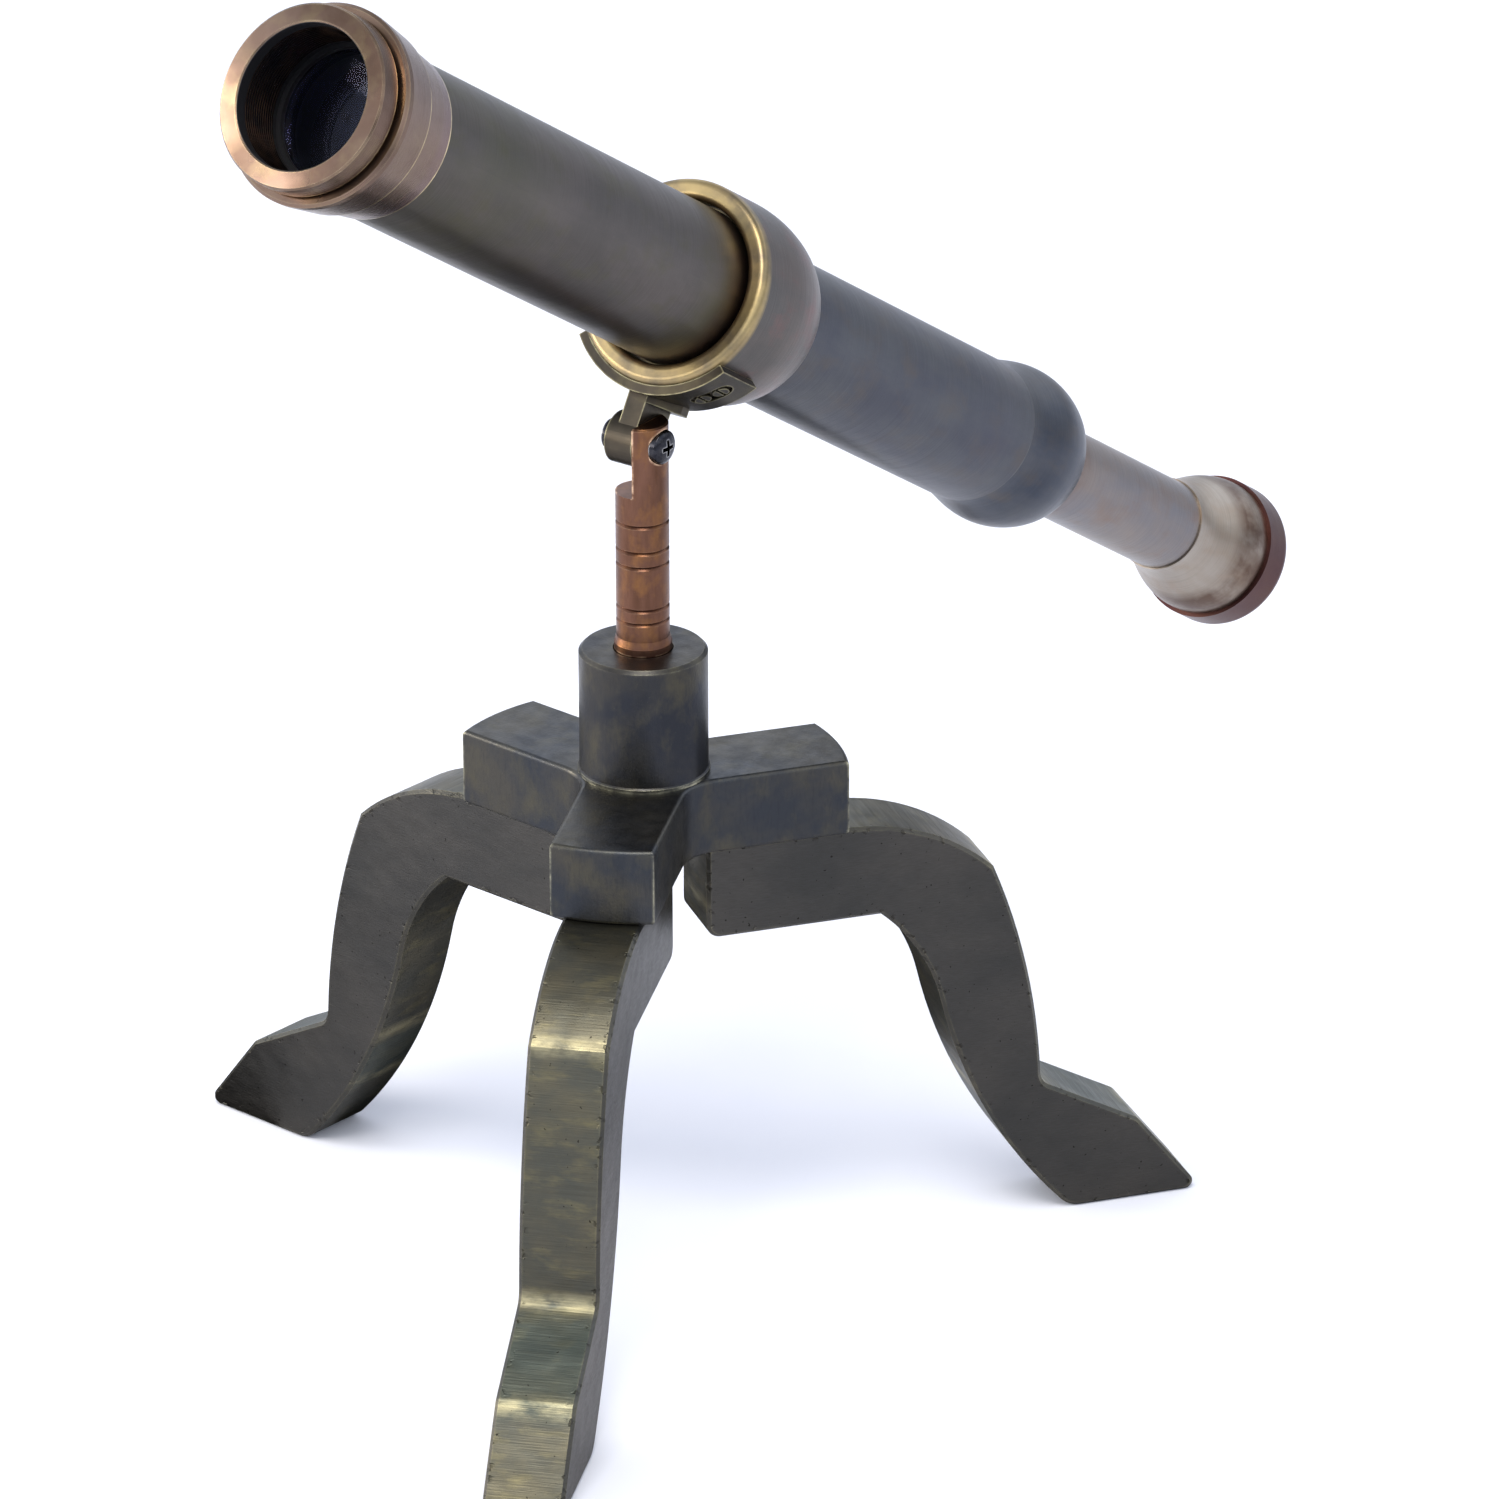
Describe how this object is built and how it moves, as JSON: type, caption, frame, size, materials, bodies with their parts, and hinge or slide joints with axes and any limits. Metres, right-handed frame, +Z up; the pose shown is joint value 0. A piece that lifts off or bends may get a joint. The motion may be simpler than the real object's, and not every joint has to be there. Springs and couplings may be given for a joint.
{
  "type": "telescope on stand",
  "caption": "Small draw-tube telescope, drawn out and tilted up, on a turned post with a half-lap pivot and a cast hub on three S-curved legs.",
  "frame": {"origin": "on the floor, under the axis of the post", "axes": "+Z up along the post; +X the level heading of the objective at rest; +Y the side with the head of the pivot screw"},
  "size_m": [0.2857, 0.1617, 0.2539],
  "materials": {
    "blackened_casting": "blackened casting, worn bright on its edges",
    "aged_leg_brass": "olive-brown aged brass, scratched",
    "copper_brown_post": "turned, copper-brown patina",
    "black_steel": "blackened steel",
    "bracket_brass": "aged olive brass",
    "collar_brass": "aged brass, polished lip",
    "bronzed_barrel": "dark bronzed, fine turning marks",
    "bezel_brass": "rose-brown turned brass, bright edges",
    "gunmetal_draw": "dark gunmetal patina",
    "grey_draw": "light grey-taupe worn draw tube",
    "eyecup_brass": "brown patina",
    "red_copper_rim": "dark red-copper patina",
    "matt_black": "matt black inside paint",
    "lens_glass": "polished, thin blue bloom"
  },
  "bodies": {
    "stand": {"hub": "blackened_casting", "socket": "blackened_casting", "leg_front": "aged_leg_brass", "leg_left": "aged_leg_brass", "leg_right": "aged_leg_brass", "leg_screws": "black_steel"},
    "post": {"post": "copper_brown_post", "post_washer": "black_steel", "post_screw": "black_steel", "pivot_screw": "black_steel", "pivot_nut": "black_steel"},
    "barrel": {"tilt_bracket": "bracket_brass", "bracket_screws": "bracket_brass", "collar": "collar_brass", "barrel_tube": "bronzed_barrel", "glare_stop": "matt_black", "barrel_ring": "bezel_brass", "objective_cell": "bezel_brass", "objective_crown": "lens_glass", "objective_flint": "lens_glass", "lens_retainer": "matt_black"},
    "draw_1": {"draw_1_tube": "gunmetal_draw", "draw_1_guide": "gunmetal_draw", "draw_1_cap": "gunmetal_draw"},
    "draw_2": {"draw_2_tube": "grey_draw", "draw_2_guide": "grey_draw", "erector_tube": "matt_black", "erector_front_lens": "lens_glass", "erector_rear_lens": "lens_glass", "eyepiece_tube": "matt_black", "field_lens": "lens_glass", "field_stop": "matt_black", "eye_lens": "lens_glass", "eyecup": "eyecup_brass", "eye_cap": "red_copper_rim"}
  },
  "joints": [
    {"name": "post_turn", "type": "hinge", "parent": "stand", "child": "post", "pos_m": [0, 0, 0.1], "axis": [0, 0, 1], "continuous": true},
    {"name": "tilt", "type": "hinge", "parent": "post", "child": "barrel", "pos_m": [0, 0, 0.152], "axis": [0, 1, 0], "range_deg": [-17.6, 72.4]},
    {"name": "draw_1_slide", "type": "slide", "parent": "barrel", "child": "draw_1", "axis": [0.8443, 0, 0.5358], "range_m": [0, 0.076]},
    {"name": "draw_2_slide", "type": "slide", "parent": "draw_1", "child": "draw_2", "axis": [0.8443, 0, 0.5358], "range_m": [0, 0.048]}
  ]
}
